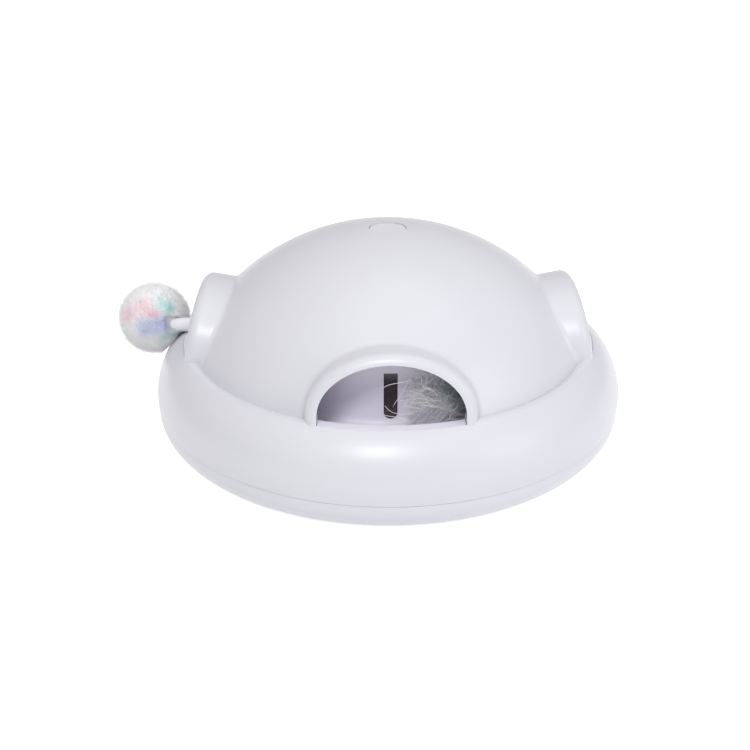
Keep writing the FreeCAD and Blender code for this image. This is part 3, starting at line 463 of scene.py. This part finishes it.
def loose_barb(start, height, radius, aim, length, wave, points):
    """A thin barb that wanders over the drum: aim is its slope up, length and wave in mm."""
    path = []
    phase = draw.uniform(0, 6.28)
    bend = draw.gauss(0, 0.5)
    arc = 0.0
    rise = 0.0
    step = length / (points - 1)
    slope = aim
    for k in range(points):
        t = k / (points - 1)
        path.append(within(curl(start + math.degrees(arc * MM / ring),
                                radius + (wave * 0.6 * math.sin(phase + 4 * t)) * MM,
                                height + rise * MM)))
        slope = aim + bend * t + 0.35 * wave * math.sin(phase + 6.5 * t)
        arc += step * math.cos(slope)
        rise += step * math.sin(slope)
    return path


def down_mass(count, seed_from, seed_to):
    """Fine barbs that spread from the curled quill to the tray and the hood."""
    made = []
    for i in range(count):
        start = draw.triangular(seed_from, seed_to, (seed_from + seed_to) / 2)
        length = draw.triangular(6, 26, 12)
        lean = draw.gauss(0, 0.8)
        out = draw.uniform(0, 2 * math.pi)
        spread = draw.triangular(0.2, 1.0, 0.75)
        path = []
        for k in range(6):
            t = k / 5
            angle = min(start + length * t * 0.6 * (1 if lean > -0.9 else -1), slot_edge - 3 * spread)
            radius = ring + math.cos(out + lean * t) * spread * 9 * MM * t ** 0.8
            height = plume_height + math.sin(out + lean * t) * spread * 12 * MM * t ** 0.8
            path.append(within(curl(angle, radius, height)))
        made.append(path)
    return made


down = strands("feather_down", down_mass(3600, 6, 56), 0.07 * MM)
tip_down = strands("feather_tip_down", down_mass(1300, 46, 86), 0.045 * MM)
wisps = []
for i in range(170):
    start = draw.triangular(50, 84, 77)
    wisps.append(loose_barb(start, draw.uniform(37, 60) * MM, draw.uniform(80, 92) * MM,
                            draw.choice((-1, 1)) * draw.uniform(0.1, 1.2),
                            min(draw.triangular(8, 26, 13), (slot_edge - start) * 1.5 + 2),
                            draw.uniform(0.6, 2.0), 14))
crossing = [
    (82.5, 61, 84, -0.85, 20), (84, 57.3, 86, 0.1, 13), (84, 41, 86, -0.1, 13), (85, 37.5, 85, 0.3, 11),
    (86, 35.5, 88, 0.1, 8), (85.5, 38.5, 90, -0.3, 10), (84.5, 36.5, 84, 0.0, 12),
]
bold = [loose_barb(start, height * MM, radius * MM, slope, length, 0.5, 14)
        for start, height, radius, slope, length in crossing]
bold += wisps[:18]
long_barbs = strands("feather_long_barbs", wisps[18:], 0.12 * MM)
bold_barbs = strands("feather_bold_barbs", bold, 0.2 * MM)

quill_path = [curl(6 + 66 * k / 12, ring, stem_height + (plume_height - stem_height) * k / 12)
              for k in range(13)]
quill = strands("feather_quill", [quill_path], 0.5 * MM)

teal_down = pocket_dye("teal_marabou_down", "#8FCDC5", [
    ("#3F9D90", (44 * MM, -70 * MM, 52 * MM), 28),
    ("#FDFDFE", (18 * MM, -84 * MM, 44 * MM), 22),
    ("#F3F4F9", (32 * MM, -82 * MM, 34 * MM), 11),
], 0.8, 1.0, 0.1)
white_down = pocket_dye("white_marabou_down", "#FDFDFE", [
    ("#3F9D90", (36 * MM, -74 * MM, 53 * MM), 21),
], 0.8, 1.0, 0.1)
dyed = [(down, teal_down), (tip_down, white_down), (long_barbs, white_down),
        (bold_barbs, white_down), (quill, teal_down)]
for piece, dye in dyed:
    piece.data.materials.clear()
    piece.data.materials.append(dye)
    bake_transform(piece)
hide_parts("feather_plume")


# Floor, light and camera.
# A pale floor, a large soft box overhead, a key from above the front and two weaker fills, with
# the camera where the photo was taken from.

def stage_white(name, colour, glow, far):
    """A pale surface that the camera, gloss and glass see near white, and that keeps shadows.
    It grows whiter to the eye with its distance from the middle, as far as far metres."""
    material = bpy.data.materials.new(name)
    material.use_nodes = True
    tree = material.node_tree
    tree.nodes.remove(tree.nodes["Principled BSDF"])
    matt = add(tree, "ShaderNodeBsdfDiffuse", {"Color": linear(colour)})
    place = add(tree, "ShaderNodeTexCoord").outputs["Object"]
    span = add(tree, "ShaderNodeVectorMath", {"operation": "LENGTH"}, {0: place})
    rise = add(tree, "ShaderNodeMapRange", {"From Min": 0.13, "From Max": far, "To Min": glow, "To Max": 1.0},
               {"Value": span.outputs["Value"]})
    light = add(tree, "ShaderNodeEmission", {"Color": (1, 1, 1, 1)}, {"Strength": rise.outputs["Result"]})
    seen = add(tree, "ShaderNodeLightPath")
    first = add(tree, "ShaderNodeMath", {"operation": "MAXIMUM"},
                {0: seen.outputs["Is Camera Ray"], 1: seen.outputs["Is Glossy Ray"]})
    both = add(tree, "ShaderNodeMath", {"operation": "MAXIMUM"},
               {0: first.outputs[0], 1: seen.outputs["Is Transmission Ray"]})
    none = add(tree, "ShaderNodeEmission", {"Color": (0, 0, 0, 1), "Strength": 0.0})
    choice = add(tree, "ShaderNodeMixShader", None,
                 {0: both.outputs[0], 1: none.outputs[0], 2: light.outputs[0]})
    total = add(tree, "ShaderNodeAddShader", None, {0: matt.outputs[0], 1: choice.outputs[0]})
    tree.links.new(total.outputs[0], tree.nodes["Material Output"].inputs["Surface"])
    return material


sheet = bmesh.new()
bmesh.ops.create_circle(sheet, cap_ends=True, segments=96, radius=8.0)
floor_mesh = bpy.data.meshes.new("floor")
sheet.to_mesh(floor_mesh)
sheet.free()
floor = bpy.data.objects.new("floor", floor_mesh)
bpy.context.scene.collection.objects.link(floor)
floor.data.materials.append(stage_white("pale_floor", "#EDEDEF", 0.75, 0.35))

world = bpy.data.worlds.new("studio")
bpy.context.scene.world = world
world.use_nodes = True
sky = world.node_tree
sky.nodes.clear()
rays = add(sky, "ShaderNodeLightPath")
lit = add(sky, "ShaderNodeBackground", {"Color": linear("#F7F6F8"), "Strength": 0.45})
white = add(sky, "ShaderNodeBackground", {"Color": (1, 1, 1, 1), "Strength": 1.0})
chosen = add(sky, "ShaderNodeMixShader", None,
             {0: rays.outputs["Is Camera Ray"], 1: lit.outputs[0], 2: white.outputs[0]})
out = add(sky, "ShaderNodeOutputWorld", None, {"Surface": chosen.outputs[0]})


def soft_box(name, place, target, size, power, tint):
    """A square area lamp that faces the target."""
    lamp = bpy.data.lights.new(name, "AREA")
    lamp.color = linear(tint)[:3]
    lamp.size = size
    lamp.energy = power
    made = bpy.data.objects.new(name, lamp)
    made.location = place
    made.rotation_euler = (Vector(target) - Vector(place)).to_track_quat("-Z", "Y").to_euler()
    bpy.context.scene.collection.objects.link(made)


soft_box("overhead", (0.1, -0.1, 1.3), (0, 0, 0.05), 1.2, 4.5, "#FFFFFF")
soft_box("front_key", (-0.1, -0.95, 1.15), (0, 0, 0.05), 0.3, 8.0, "#FFFFFF")
soft_box("right_fill", (1.1, -0.7, 0.6), (0, 0, 0.05), 0.8, 3.6, "#F4F8FF")
soft_box("front_fill", (-0.35, -1.3, 0.28), (0, 0, 0.05), 0.7, 0.3, "#FFFDFF")

aim = Vector((0, 0, 23 * MM))
eye = Vector((-8.3, -446.1, 240.0)) * MM
view = (aim - eye).normalized()
right = view.cross(Vector((0, 0, 1))).normalized()
up = right.cross(view)
focal_px = 940.35
offset_px = (387.43 - 375, 375 - 365.79)
reach = (aim - eye).length
aim = aim - (right * offset_px[0] + up * offset_px[1]) * reach / focal_px
roll = math.radians(-0.266)
lens = bpy.data.cameras.new("camera")
lens.sensor_width = 36
lens.lens = focal_px * 36 / 750
lens.clip_start = 0.01
camera = bpy.data.objects.new("camera", lens)
camera.location = eye
camera.rotation_euler = (aim - eye).to_track_quat("-Z", "Y").to_euler()
camera.rotation_euler.rotate_axis("Z", roll)
bpy.context.scene.collection.objects.link(camera)
bpy.context.scene.camera = camera
bpy.context.scene.view_settings.view_transform = "Standard"
